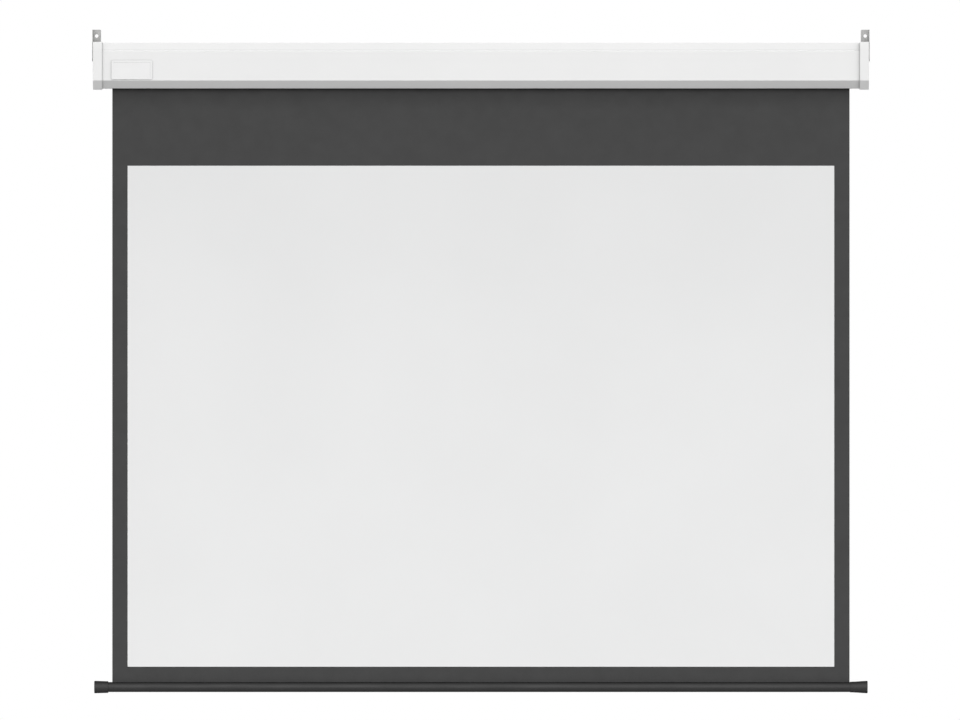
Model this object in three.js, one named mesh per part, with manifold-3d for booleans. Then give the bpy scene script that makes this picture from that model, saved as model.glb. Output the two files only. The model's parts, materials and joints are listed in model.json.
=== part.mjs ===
// Motorized projection screen for a wall or ceiling. A painted casing in two shells sits between two
// moulded end caps. A tubular motor inside it turns a roller, and the fabric hangs from the front of
// the roller, through a slot in the casing's floor, down to a round weight bar.
// Lengths are in millimetres. X runs along the width, Z is up, and the wall is the plane Y = 0 with
// the screen on its -Y side. The origin is the middle of the casing's rear face.

import * as THREE from 'three';
import { mergeVertices } from 'three/addons/utils/BufferGeometryUtils.js';
import Module from 'manifold-3d';

const wasm = await Module();
wasm.setup();

// Fits. Two pieces that only meet keep the fit gap, and a cut runs past the face that it opens.
const gap = 0.3;
const cutOver = 1;

// Fabric: a black base cloth with a white coat on its picture area.
const pictureWidth = 1800;
const pictureHeight = 1276;
const sideBorder = 39;
const bottomBorder = 39;
const topDrop = 197;
const clothThickness = 0.4;
const coatThickness = 0.15;

// Casing section, seen from the side: an upper band set back and leaning back a little, a sloped
// ledge, a flat front and a sloped lower edge.
const caseDepth = 105;
const caseHeight = 116;
const caseWall = 1.5;
const bandHeight = 18;
const bandLean = 1.6;
const ledgeHeight = 3.3;
const ledgeDepth = 2.8;
const slopeHeight = 20;
const slopeDepth = 17;
const tongueHeight = 8;
const lipHeight = 8;
const frontFlange = 6;
const slotRoomFront = 5;
const slotRoomRear = 7;

// End caps, which slip over the casing's ends and stand proud of it, most of all in front.
const endRoom = 49;
const capWidth = 23;
const capStep = 2.4;
const capFrontStep = 6;
const capSlopeShare = 0.84;
const capWall = 4;
const capGrip = 6;
const bossLength = 5;
const bossRadius = 6;

// Steel end plates inside the caps.
const plateThickness = 3;
const tabLength = 16;
const tabWidth = 30;
const tabSetback = 10;

// Hanging brackets: a web on the outside of each cap, folded into an ear that faces the wall.
const bracketSteel = 2.5;
const earWidth = 22;
const earHeight = 32;
const earWebDepth = 25;
const earHoleRadius = 4.5;
const earHoleDrop = 16;
const earHoleInset = 10.8;
const earCorner = 3;
const webDepth = 50;
const webDrop = 49;
const webCorner = 8;

// Screws through the bracket, cap and end plate, placed from the wall and from the cap's top.
const bracketScrewRadius = 2.5;
const bracketScrewSetbacks = [38, 14];
const bracketScrewDrops = [38, 14];
const screwSocketRadius = 1.6;
const screwSocketDepth = 1.4;

// Screws through the cap and end plate, placed from the casing's front and middle.
const capScrewRadius = 2;
const capScrewHead = 3.9;
const capScrewHeadHeight = 2.3;
const capScrewSetback = 17;
const capScrewRise = 28;

// Roller: a steel tube with a groove rolled in along its top, and the turns left on it.
const rollerDrop = 54;
const tubeRadius = 25;
const tubeWall = 1.5;
const grooveHalfWidth = 3.5;
const grooveDepth = 4;
const rollThickness = 0.7;
const ringFlange = 2.5;
const ringDepth = 15;
const endPlay = 1.5;

// Motor head, fixed to the left end plate, with two screws that set where the fabric stops.
const headLength = 22;
const headRadius = 23;
const headSpigot = 10;
const headScrewRadius = 2;
const headScrewHead = 3.5;
const headScrewHeadHeight = 2;
const headScrewLength = 10;
const headScrewSpread = 15;
const limitScrewRadius = 3;
const limitScrewLength = 10;
const limitScrewSpread = 6.5;
const limitScrewProud = 1.5;
const limitLandDepth = 3;
const limitSocketRadius = 1.5;
const limitSocketDepth = 3;

// Motor, from the head to its output, inside a thin steel shell.
const crownWall = 1.4;
const shellWall = 1.2;
const switchUnitLength = 55;
const capacitorLength = 70;
const brakeLength = 26;
const brakeRoom = 6;
const bearingLength = 8;
const windingRoom = 10;
const statorLength = 90;
const statorWall = 5.7;
const airGap = 0.6;
const shaftRadius = 3;
const outputBearingLength = 12;
const outputRadius = 7;
const driveWheelLength = 14;
const driveWheelRoom = 3;
const driveSquareHalf = 4;

// Planetary stage: one sun, three planets and a fixed ring, with stub teeth.
const sunTeeth = 15;
const planetTeeth = 15;
const ringTeeth = 45;
const planetCount = 3;
const ringGearWall = 1.75;
const gearWidth = 14;
const carrierThickness = 5;
const planetPinRadius = 1.5;
const sunWall = 1.3;
const toothThinning = 0.2;
const pressureAngle = THREE.MathUtils.degToRad(20);
const addendumShare = 0.7;
const dedendumShare = 1.25;

// Idler end, on the right: a plug in the tube turns with its pin in a bush.
const plugDepth = 30;
const pinRadius = 5;
const pinReach = 3;
const pinHeadRadius = 8;
const pinHeadLength = 3;
const bushWall = 3;
const bushFlange = 3;
const bushFlangeThickness = 2;

// Weight bar: a slotted tube that grips a rod in the fabric's hem, and two caps of unlike length.
const barOverhang = 46;
const barRadius = 12.75;
const barWall = 1.8;
const barSlot = 4;
const hemRodRadius = 3;
const leftCapLength = 36;
const rightCapLength = 45;
const barCapOuterRadius = 15.9;
const barCapInnerRadius = 14.8;
const barCapWall = 8;
const barCapEdge = 1.2;

// Bare plate on the casing's front, near the left cap.
const plateWidth = 104;
const plateHeight = 48.5;
const plateDepth = 2;
const plateInset = 24;
const plateDrop = 44.8;
const plateCorner = 3;
const plateRim = 5;
const plateRecess = 0.5;

// Terminal box on the casing's floor at the left, with a gland through the floor under it.
const boxWidth = 80;
const boxDepth = 34;
const boxHeight = 26;
const boxWall = 2;
const boxRoom = 17;
const blockWidth = 36;
const blockDepth = 14;
const blockHeight = 12;
const blockInset = 4;
const blockPoleRadius = 2;
const blockPoles = 3;
const glandThread = 6;
const glandFlange = 9;
const glandFlangeThickness = 4;
const glandDome = 8;
const glandDomeTip = 5.5;
const glandDomeLength = 9;
const glandNutLength = 4;
const glandThreadSpare = 2;
const glandInset = 22;
const glandBore = 3.5;
const glandRecess = 3;

// Lead between the motor head and the terminal box.
const leadRadius = 2.5;
const leadBend = 8;
const leadExit = THREE.MathUtils.degToRad(-45);

// Facet counts of round pieces.
const roundSides = 40;
const hiddenSides = 24;
const smallSides = 12;
const leadSides = 8;
const leadSteps = 48;
const leadBendSteps = 6;
const bendSteps = 3;
const keySides = 6;

// Places that follow from the sizes above.
const fabricWidth = pictureWidth + 2 * sideBorder;
const capFace = fabricWidth / 2 + endRoom;
const casingEnd = capFace - capWidth + capGrip;
const bracketScrewHead = bracketScrewRadius + bracketSteel;
const plateOuter = capWall + bossLength;
const plateInner = plateOuter + plateThickness;
const caseTop = caseHeight / 2;
const caseFloor = -caseTop;
const capTop = caseTop + capStep;
const bandFoot = caseTop - bandHeight;
const frontTop = bandFoot - ledgeHeight;
const frontFoot = caseFloor + slopeHeight;
const slotFront = frontFlange - (caseDepth - slopeDepth);
const fabricBack = slotFront + slotRoomFront + coatThickness + clothThickness;
const slotRear = fabricBack + slotRoomRear;
const rollInner = tubeRadius + gap;
const rollRadius = rollInner + rollThickness;
const axisY = fabricBack + gap + rollRadius;
const axisZ = caseTop - rollerDrop;
const headBack = plateInner - capFace;
const headFace = headBack + headLength;
const tubeHalf = -(headFace + endPlay + ringFlange);
const pictureTop = caseFloor - topDrop;
const hemTop = pictureTop - pictureHeight;
const barZ = hemTop - bottomBorder - barRadius;
const fabricMid = fabricBack - clothThickness / 2;
const barEnd = fabricWidth / 2 + barOverhang;

// The motor's radii follow from the room inside the grooved tube.
const tubeBore = tubeRadius - tubeWall;
const grooveBack = tubeRadius - grooveDepth - tubeWall;
const grooveBackHalf = grooveHalfWidth + tubeWall;
const crownBore = grooveBack - gap - crownWall;
const shellRadius = crownBore - gap;
const coreRadius = shellRadius - shellWall - gap;
const gearModule = (coreRadius - ringGearWall) / (ringTeeth / 2 + dedendumShare);
const planetOrbit = gearModule * (sunTeeth + planetTeeth) / 2;

// Finishes, by colour, roughness and metalness.
const finishes = {
  casing: [0xeeeeed, 0.45, 0],
  cap: [0xf0f0ef, 0.5, 0],
  steel: [0xb4b4b0, 0.4, 0.9],
  zinc: [0xa9abad, 0.35, 0.9],
  blackCloth: [0x474747, 0.85, 0],
  whiteCoat: [0xebecec, 0.9, 0],
  bar: [0x3f3f41, 0.35, 0.3],
  plate: [0xf0f0f0, 0.5, 0],
  blackPlastic: [0x2a2a2b, 0.5, 0],
  greyPlastic: [0x8b8d8f, 0.55, 0],
  whitePlastic: [0xe4e3df, 0.5, 0],
  copperIron: [0x7c5a44, 0.6, 0.5],
  brass: [0xb59a55, 0.35, 0.9],
};

function finish(key) {
  const [color, roughness, metalness] = finishes[key];
  return new THREE.MeshStandardMaterial({ color, roughness, metalness });
}

function place(group, name, geometry, key, x = 0, y = 0, z = 0) {
  const mesh = new THREE.Mesh(geometry, finish(key));
  mesh.name = name;
  mesh.position.set(x, y, z);
  group.add(mesh);
  return mesh;
}

// Solids for cutting and joining, and back again.
function solid(geometry) {
  const plain = geometry.index ? geometry.toNonIndexed() : geometry.clone();
  plain.deleteAttribute('normal');
  plain.deleteAttribute('uv');
  const merged = mergeVertices(plain);
  return new wasm.Manifold(new wasm.Mesh({
    numProp: 3,
    vertProperties: new Float32Array(merged.attributes.position.array),
    triVerts: new Uint32Array(merged.index.array),
  }));
}

function geometryOf(manifold) {
  const mesh = manifold.getMesh();
  const geometry = new THREE.BufferGeometry();
  geometry.setAttribute('position', new THREE.BufferAttribute(mesh.vertProperties, mesh.numProp));
  geometry.setIndex(new THREE.BufferAttribute(mesh.triVerts, 1));
  geometry.computeVertexNormals();
  return geometry;
}

function joined(pieces) {
  return pieces.map(solid).reduce((whole, piece) => whole.add(piece));
}

function cut(body, tools) {
  const start = body instanceof THREE.BufferGeometry ? solid(body) : body;
  return geometryOf(tools.reduce((whole, tool) => whole.subtract(solid(tool)), start));
}

// Flat outlines, as lists of [first, second] coordinates.
function arc(centreX, centreY, radius, from, to, steps) {
  return Array.from({ length: steps + 1 }, (_, i) => {
    const angle = from + (to - from) * i / steps;
    return [centreX + radius * Math.cos(angle), centreY + radius * Math.sin(angle)];
  });
}

function circle(radius, sides, centreX = 0, centreY = 0) {
  return arc(centreX, centreY, radius, 0, 2 * Math.PI, sides).slice(0, sides);
}

function square(half) {
  return [[-half, -half], [half, -half], [half, half], [-half, half]];
}

// A circle with a square notch cut in from its top.
function keyedOutline(radius, notchHalf, notchFloor) {
  const edge = Math.asin(notchHalf / radius);
  const top = Math.PI / 2;
  return [
    ...arc(0, 0, radius, top + edge, top + 2 * Math.PI - edge, roundSides),
    [notchHalf, notchFloor],
    [-notchHalf, notchFloor],
  ];
}

function roundedRectangle(width, height, corner) {
  const turn = Math.PI / 2;
  const places = [[1, 1], [-1, 1], [-1, -1], [1, -1]];
  return places.flatMap(([sideX, sideY], i) => arc(
    sideX * (width / 2 - corner),
    sideY * (height / 2 - corner),
    corner,
    i * turn,
    (i + 1) * turn,
    bendSteps,
  ));
}

function shapeOf(outline, holes = []) {
  const shape = new THREE.Shape(outline.map(([x, y]) => new THREE.Vector2(x, y)));
  for (const hole of holes) {
    shape.holes.push(new THREE.Path(hole.map(([x, y]) => new THREE.Vector2(x, y))));
  }
  return shape;
}

// A line with its direction, the line beside it on the left, and the point where two lines cross.
function lineThrough(a, b) {
  const length = Math.hypot(b[0] - a[0], b[1] - a[1]);
  return { start: a, along: [(b[0] - a[0]) / length, (b[1] - a[1]) / length] };
}

function beside(line, distance) {
  const [u, v] = line.along;
  return { start: [line.start[0] - v * distance, line.start[1] + u * distance], along: line.along };
}

function crossing(a, b) {
  const turn = a.along[0] * b.along[1] - a.along[1] * b.along[0];
  const across = (b.start[0] - a.start[0]) * b.along[1] - (b.start[1] - a.start[1]) * b.along[0];
  return [a.start[0] + a.along[0] * across / turn, a.start[1] + a.along[1] * across / turn];
}

// A sheet of even thickness folded along a path, with the thickness on the given side of the path.
function foldedSheet(path, thickness, side) {
  const lines = path.slice(1).map((point, i) => beside(lineThrough(path[i], point), side * thickness));
  const last = lines[lines.length - 1];
  const foldLength = Math.hypot(
    path[path.length - 1][0] - path[path.length - 2][0],
    path[path.length - 1][1] - path[path.length - 2][1],
  );
  const inner = [lines[0].start];
  for (let i = 1; i < lines.length; i += 1) {
    inner.push(crossing(lines[i - 1], lines[i]));
  }
  inner.push([last.start[0] + last.along[0] * foldLength, last.start[1] + last.along[1] * foldLength]);
  return { outer: path, inner };
}

// An outline with its edges moved outward, the rear edge by its own distance.
function grown(outline, distance, rearDistance) {
  const lines = outline.map((point, i) => {
    const next = outline[(i + 1) % outline.length];
    return beside(lineThrough(point, next), -(i === 0 ? rearDistance : distance));
  });
  return lines.map((line, i) => crossing(lines[(i + lines.length - 1) % lines.length], line));
}

// A bar along X with an outline drawn in Y and Z, and a turned piece whose axis runs along X.
const drawnInYZ = new THREE.Matrix4().makeBasis(
  new THREE.Vector3(0, 1, 0),
  new THREE.Vector3(0, 0, 1),
  new THREE.Vector3(1, 0, 0),
);

function bar(outline, from, to, holes = []) {
  const settings = { depth: Math.abs(to - from), bevelEnabled: false };
  const geometry = new THREE.ExtrudeGeometry(shapeOf(outline, holes), settings);
  geometry.applyMatrix4(drawnInYZ);
  return geometry.translate(Math.min(from, to), 0, 0);
}

function turned(profile, sides, direction = 1) {
  const points = profile.map(([radius, distance]) => new THREE.Vector2(radius, distance));
  return new THREE.LatheGeometry(points, sides).rotateZ(-direction * Math.PI / 2);
}

function rod(radius, from, to, sides) {
  return turned([[0, from], [radius, from], [radius, to], [0, to]], sides);
}

function ring(outer, inner, from, to, sides) {
  return turned([[inner, from], [outer, from], [outer, to], [inner, to], [inner, from]], sides);
}

function pin(radius, from, to, y, z, sides = smallSides) {
  return rod(radius, Math.min(from, to), Math.max(from, to), sides).translate(0, y, z);
}

// The casing's outer section, anticlockwise from the bottom of its rear face.
const casingOutline = [
  [0, caseFloor],
  [0, caseTop],
  [bandLean + ledgeDepth - caseDepth, caseTop],
  [ledgeDepth - caseDepth, bandFoot],
  [-caseDepth, frontTop],
  [-caseDepth, frontFoot],
  [slopeDepth - caseDepth, caseFloor],
];

// An end cap's outer section. It has no ledge: its front runs up to the foot of its leaning band. Its
// lower slope is steeper than the casing's.
const capDepth = caseDepth + capFrontStep;
const capLean = bandLean * (capTop - frontTop) / bandHeight;
const capSlopeDepth = capSlopeShare * slopeDepth * (slopeHeight + capStep) / slopeHeight;
const capOutline = [
  [0, caseFloor - capStep],
  [0, capTop],
  [capLean - capDepth, capTop],
  [-capDepth, frontTop],
  [-capDepth, frontFoot],
  [capSlopeDepth - capDepth, caseFloor - capStep],
];

const bandLine = lineThrough(casingOutline[3], casingOutline[2]);
const ledgeLine = lineThrough(casingOutline[4], casingOutline[3]);

// Front shell: the edge of its ledge meets the rear shell's tongue, and its lip edges the fabric slot.
function frontShell() {
  const seam = beside(bandLine, gap);
  const path = [
    crossing(seam, ledgeLine),
    casingOutline[4],
    casingOutline[5],
    casingOutline[6],
    [slotFront, caseFloor],
    [slotFront, caseFloor + lipHeight],
  ];
  const sheet = foldedSheet(path, caseWall, 1);
  sheet.inner[0] = crossing(seam, beside(ledgeLine, -caseWall));
  return bar([...sheet.outer, ...sheet.inner.reverse()], -casingEnd, casingEnd);
}

// Rear shell: band, top, back and floor in one sheet, with the gland's hole in the floor. A tongue
// carries the band on downward, behind the front shell's ledge.
function rearShell() {
  const path = [
    bandLine.along.map((share, i) => casingOutline[3][i] - share * tongueHeight),
    casingOutline[2],
    casingOutline[1],
    casingOutline[0],
    [slotRear, caseFloor],
    [slotRear, caseFloor + lipHeight],
  ];
  const sheet = foldedSheet(path, caseWall, -1);
  const body = bar([...sheet.outer, ...sheet.inner.reverse()], -casingEnd, casingEnd);
  return cut(body, [uprightHole(glandThread + gap, caseFloor - cutOver, caseFloor + caseWall + cutOver)]);
}

// Screw places at an end, in Y and Z.
const bracketScrewPlaces = bracketScrewSetbacks.map((back, i) => [-back, capTop - bracketScrewDrops[i]]);
const capScrewPlaces = [capScrewRise, -capScrewRise].map((rise) => [capScrewSetback - caseDepth, rise]);

// An end group's origin is on its cap's outer face. Inward is 1 at the left end and -1 at the right.
function endCap(inward) {
  const inside = -(caseWall + gap);
  const shell = cut(bar(capOutline, 0, inward * capWidth), [
    bar(grown(casingOutline, gap, cutOver), inward * (capWidth - capGrip), inward * (capWidth + cutOver)),
    bar(grown(casingOutline, inside, inside), inward * capWall, inward * (capWidth - capGrip + cutOver)),
  ]);
  const places = [...bracketScrewPlaces, ...capScrewPlaces];
  const bosses = places.map(([y, z]) => pin(bossRadius, inward * capWall / 2, inward * plateOuter, y, z));
  const start = -inward * cutOver;
  const reach = inward * (plateOuter + cutOver);
  const sink = inward * (capScrewHeadHeight + gap);
  return cut(joined([shell, ...bosses]), [
    ...bracketScrewPlaces.map(([y, z]) => pin(bracketScrewRadius + gap, start, reach, y, z)),
    ...capScrewPlaces.map(([y, z]) => pin(capScrewRadius + gap, start, reach, y, z)),
    ...capScrewPlaces.map(([y, z]) => pin(capScrewHead + gap, start, sink, y, z)),
  ]);
}

// End plate with a tab folded inward along the casing's top and another along its floor.
function endPlate(inward, extraHoles) {
  const inside = -(caseWall + 2 * gap);
  const plate = bar(grown(casingOutline, inside, inside), inward * plateOuter, inward * plateInner);
  const tabX = inward * (plateInner + (tabLength - plateThickness) / 2);
  const tabY = -(tabSetback + tabWidth / 2);
  const tabZ = caseTop + inside - plateThickness / 2;
  const tabs = [tabZ, -tabZ].map((z) => (
    new THREE.BoxGeometry(tabLength + plateThickness, tabWidth, plateThickness).translate(tabX, tabY, z)
  ));
  const start = inward * (plateOuter - cutOver);
  const reach = inward * (plateInner + cutOver);
  return cut(joined([plate, ...tabs]), [
    ...bracketScrewPlaces.map(([y, z]) => pin(bracketScrewRadius + gap, start, reach, y, z)),
    ...capScrewPlaces.map(([y, z]) => pin(capScrewRadius + gap, start, reach, y, z)),
    ...extraHoles.map(([radius, y, z]) => pin(radius, start, reach, y, z)),
  ]);
}

// Hanging bracket: the web lies on the cap's outer face, and above it an ear is folded towards the
// middle of the screen, with its back on the wall.
function hangingBracket(inward) {
  const outer = -inward * bracketSteel;
  const innerEdge = inward * (earWidth - bracketSteel);
  const top = capTop + earHeight;
  const foot = capTop - webDrop;
  const half = Math.PI / 2;
  const web = bar([
    [0, foot],
    [0, top],
    ...arc(earCorner - earWebDepth, top - earCorner, earCorner, half, 2 * half, bendSteps),
    [-earWebDepth, capTop],
    ...arc(webCorner - webDepth, capTop - webCorner, webCorner, half, 2 * half, bendSteps),
    ...arc(webCorner - webDepth, foot + webCorner, webCorner, 2 * half, 3 * half, bendSteps),
  ], 0, outer);
  const ear = new THREE.ExtrudeGeometry(shapeOf([
    [outer, capTop + gap],
    [innerEdge, capTop + gap],
    ...arc(innerEdge - inward * earCorner, top - earCorner, earCorner, half - inward * half, half, bendSteps),
    [outer, top],
  ]), { depth: bracketSteel, bevelEnabled: false }).rotateX(half);
  const hole = new THREE.CylinderGeometry(earHoleRadius, earHoleRadius, 2 * bracketSteel, hiddenSides)
    .translate(inward * (earHoleInset - bracketSteel), -bracketSteel / 2, top - earHoleDrop);
  const sink = [
    [0, -cutOver],
    [bracketScrewHead + gap, -cutOver],
    [bracketScrewHead + gap, 0],
    [bracketScrewRadius + gap, bracketSteel],
    [bracketScrewRadius + gap, bracketSteel + cutOver],
    [0, bracketSteel + cutOver],
  ];
  const sinks = bracketScrewPlaces.map(([y, z]) => turned(sink, smallSides, inward).translate(outer, y, z));
  return cut(joined([web, ear]), [hole, ...sinks]);
}

// Screws, by their distance from the face that they go in at, each with a round socket in its head.
function socket(depth) {
  return [[0, depth], [screwSocketRadius, depth], [screwSocketRadius, 0]];
}

function bracketScrew(inward) {
  const length = bracketSteel + plateInner - gap;
  return turned([
    ...socket(screwSocketDepth),
    [bracketScrewHead, 0],
    [bracketScrewRadius, bracketSteel],
    [bracketScrewRadius, length],
    [0, length],
  ], smallSides, inward);
}

function panScrew(shank, head, headHeight, length, inward) {
  return turned([
    ...socket(screwSocketDepth),
    [head, 0],
    [head, headHeight],
    [shank, headHeight],
    [shank, length],
    [0, length],
  ], smallSides, inward);
}

// Roller pieces, drawn round the roller's axis.
function keyedPiece(from, to, holes) {
  return bar(keyedOutline(tubeBore - gap, grooveBackHalf + gap, grooveBack - gap), from, to, holes);
}

function rollerTube() {
  const bore = keyedOutline(tubeBore, grooveBackHalf, grooveBack);
  const outside = keyedOutline(tubeRadius, grooveHalfWidth, tubeRadius - grooveDepth);
  return bar(outside, -tubeHalf, tubeHalf, [bore]);
}

function clampStrip() {
  const half = grooveHalfWidth - gap;
  const foot = tubeRadius - grooveDepth + gap;
  const top = Math.sqrt(tubeRadius ** 2 - half ** 2) - gap;
  return bar([[-half, foot], [half, foot], [half, top], [-half, top]], -fabricWidth / 2, fabricWidth / 2);
}

function crownRing() {
  const bore = circle(crownBore, hiddenSides);
  const body = keyedPiece(-tubeHalf - ringFlange / 2, -tubeHalf + ringDepth, [bore]);
  const flange = ring(tubeRadius, crownBore, -tubeHalf - ringFlange, -tubeHalf, hiddenSides);
  return geometryOf(joined([body, flange]));
}

function idlerPlug() {
  const bore = pinRadius + gap;
  const body = keyedPiece(tubeHalf - plugDepth, tubeHalf + ringFlange / 2, [circle(bore, hiddenSides)]);
  const flange = ring(tubeRadius, bore, tubeHalf, tubeHalf + ringFlange, hiddenSides);
  return geometryOf(joined([body, flange]));
}

function idlerPin() {
  const start = tubeHalf - plugDepth - gap - pinHeadLength;
  return turned([
    [0, start],
    [pinHeadRadius, start],
    [pinHeadRadius, start + pinHeadLength],
    [pinRadius, start + pinHeadLength],
    [pinRadius, capFace - plateOuter + pinReach],
    [0, capFace - plateOuter + pinReach],
  ], hiddenSides);
}

function idlerBush() {
  const bore = pinRadius + gap;
  const flangeFoot = capFace - plateInner;
  return turned([
    [bore, flangeFoot - bushFlangeThickness],
    [bore + bushWall + bushFlange, flangeFoot - bushFlangeThickness],
    [bore + bushWall + bushFlange, flangeFoot],
    [bore + bushWall, flangeFoot],
    [bore + bushWall, capFace - plateOuter],
    [bore, capFace - plateOuter],
    [bore, flangeFoot - bushFlangeThickness],
  ], hiddenSides);
}

// Motor head. A flat land on it faces the fabric slot, and the two limit screws stand in the land.
const slotLean = Math.atan2((slotFront + slotRear) / 2 - axisY, axisZ - caseFloor);
const landRise = headRadius - limitLandDepth;
const limitScrewX = (headBack + headFace) / 2;
const limitBore = limitScrewRadius + gap;
const headScrewPlaces = [headScrewSpread, -headScrewSpread];

function motorHead() {
  const body = turned([
    [0, headBack],
    [headRadius, headBack],
    [headRadius, headFace],
    [coreRadius, headFace],
    [coreRadius, headFace + headSpigot],
    [0, headFace + headSpigot],
  ], hiddenSides);
  const land = new THREE.BoxGeometry(2 * headRadius, 2 * headRadius, headRadius)
    .translate(limitScrewX, 0, -landRise - headRadius / 2);
  const boreDepth = limitScrewLength - limitScrewProud + gap;
  const bores = [limitScrewSpread, -limitScrewSpread].map((y) => (
    new THREE.CylinderGeometry(limitBore, limitBore, boreDepth + cutOver, smallSides)
      .rotateX(Math.PI / 2)
      .translate(limitScrewX, y, (boreDepth - cutOver) / 2 - landRise)
  ));
  const fixing = headScrewPlaces.map((y) => (
    pin(headScrewRadius + gap, headBack - cutOver, headBack + headScrewLength + gap, y, 0)
  ));
  return cut(body, [land, ...bores].map((tool) => tool.rotateX(slotLean)).concat(fixing));
}

function limitScrew() {
  const body = new THREE.CylinderGeometry(limitScrewRadius, limitScrewRadius, limitScrewLength, smallSides)
    .translate(0, limitScrewLength / 2 - limitScrewProud, 0);
  const depth = limitSocketDepth + cutOver;
  const key = new THREE.CylinderGeometry(limitSocketRadius, limitSocketRadius, depth, keySides)
    .translate(0, (limitSocketDepth - cutOver) / 2 - limitScrewProud, 0);
  return cut(body, [key]).rotateX(Math.PI / 2);
}

// The motor's stages follow one another along its shell.
function span(from, length) {
  return [from, from + length];
}

const switchSpan = span(headFace + headSpigot + gap, switchUnitLength);
const capacitorSpan = span(switchSpan[1] + gap, capacitorLength);
const brakeSpan = span(capacitorSpan[1] + brakeRoom, brakeLength);
const rearBearingSpan = span(brakeSpan[1] + gap, bearingLength);
const statorSpan = span(rearBearingSpan[1] + windingRoom, statorLength);
const frontBearingSpan = span(statorSpan[1] + windingRoom, bearingLength);
const gearSpan = span(frontBearingSpan[1] + gap, gearWidth);
const carrierSpan = span(gearSpan[1] + gap, carrierThickness);
const outputBearingSpan = span(carrierSpan[1] + gap, outputBearingLength);
const shellEnd = outputBearingSpan[1];
const driveSpan = span(shellEnd + driveWheelRoom, driveWheelLength);

function coreRing(bore, [from, to]) {
  return ring(coreRadius, bore, from, to, hiddenSides);
}

const sunPitch = gearModule * sunTeeth / 2;
const planetPitch = gearModule * planetTeeth / 2;
const ringPitch = gearModule * ringTeeth / 2;
const addendum = addendumShare * gearModule;
const dedendum = dedendumShare * gearModule;
const sunBore = sunPitch - dedendum - sunWall;
const planetAngles = Array.from({ length: planetCount }, (_, i) => (
  Math.PI / 2 + 2 * Math.PI * i / planetCount
));

// Gear teeth as an outline with involute flanks. The radii run from a tooth's foot to its tip.
function teethOutline(teeth, radii, thinning, phase) {
  const pitch = gearModule * teeth / 2;
  const base = pitch * Math.cos(pressureAngle);
  const involute = (radius) => {
    const angle = Math.acos(Math.min(1, base / radius));
    return Math.tan(angle) - angle;
  };
  const middle = Math.PI / (2 * teeth) - thinning / (2 * pitch) + involute(pitch);
  const rising = radii.map((radius) => [radius, involute(radius) - middle]);
  const falling = rising.map(([radius, turn]) => [radius, -turn]).reverse();
  return Array.from({ length: teeth }, (_, i) => phase + 2 * Math.PI * i / teeth).flatMap((centre) => (
    [...rising, ...falling].map(([radius, turn]) => [
      radius * Math.cos(centre + turn),
      radius * Math.sin(centre + turn),
    ])
  ));
}

function outerGear(teeth, pitch, bore, phase) {
  const outline = teethOutline(teeth, [pitch - dedendum, pitch, pitch + addendum], toothThinning, phase);
  return bar(outline, gearSpan[0], gearSpan[1], [circle(bore, smallSides)]);
}

function ringGear() {
  const radii = [ringPitch - addendum, ringPitch + dedendum];
  const spaces = teethOutline(ringTeeth, radii, -toothThinning, planetAngles[0]);
  return bar(circle(coreRadius, hiddenSides), gearSpan[0], gearSpan[1], [spaces]);
}

function motorRotor() {
  const body = coreRadius - statorWall - airGap;
  return turned([
    [0, brakeSpan[0]],
    [shaftRadius, brakeSpan[0]],
    [shaftRadius, statorSpan[0]],
    [body, statorSpan[0]],
    [body, statorSpan[1]],
    [shaftRadius, statorSpan[1]],
    [shaftRadius, frontBearingSpan[1]],
    [sunBore - gap, frontBearingSpan[1]],
    [sunBore - gap, gearSpan[1]],
    [0, gearSpan[1]],
  ], hiddenSides);
}

function outputCarrier() {
  const middle = (carrierSpan[0] + carrierSpan[1]) / 2;
  return geometryOf(joined([
    rod(planetOrbit + 2 * planetPinRadius, carrierSpan[0], carrierSpan[1], hiddenSides),
    rod(outputRadius, middle, shellEnd, hiddenSides),
    bar(square(driveSquareHalf), middle, driveSpan[1]),
    ...planetAngles.map((angle) => (
      pin(planetPinRadius, gearSpan[0], middle, planetOrbit * Math.cos(angle), planetOrbit * Math.sin(angle))
    )),
  ]));
}

function driveWheel() {
  return keyedPiece(driveSpan[0], driveSpan[1], [square(driveSquareHalf + gap)]);
}

// Weight bar pieces, drawn round the bar's axis. The hem runs in at the tube's slot and round its rod.
const barBore = barRadius - barWall;
const hemInner = hemRodRadius + gap;
const hemOuter = hemInner + clothThickness;
const hemRise = barBore - gap - hemOuter;

function weightBarTube() {
  const outer = Math.asin(barSlot / 2 / barRadius);
  const inner = Math.asin(barSlot / 2 / barBore);
  const top = Math.PI / 2;
  const reach = barEnd - barCapWall - gap;
  return bar([
    ...arc(0, 0, barRadius, top + outer, top + 2 * Math.PI - outer, roundSides),
    ...arc(0, 0, barBore, top + 2 * Math.PI - inner, top + inner, roundSides),
  ], -reach, reach);
}

function fabricHem() {
  const half = clothThickness / 2;
  const mouth = Math.asin(half / hemOuter);
  const top = Math.PI / 2;
  const rim = barRadius + bottomBorder;
  return bar([
    [half, rim],
    [-half, rim],
    ...arc(0, hemRise, hemOuter, top + mouth, top + 2 * Math.PI - mouth, hiddenSides),
  ], -fabricWidth / 2, fabricWidth / 2, [circle(hemInner, hiddenSides, 0, hemRise)]);
}

function barCap(length, inward) {
  return turned([
    [0, 0],
    [barCapOuterRadius - barCapEdge, 0],
    [barCapOuterRadius, barCapEdge],
    [barCapInnerRadius, length],
    [barRadius + gap, length],
    [barRadius + gap, barCapWall],
    [0, barCapWall],
  ], roundSides, inward);
}

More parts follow.
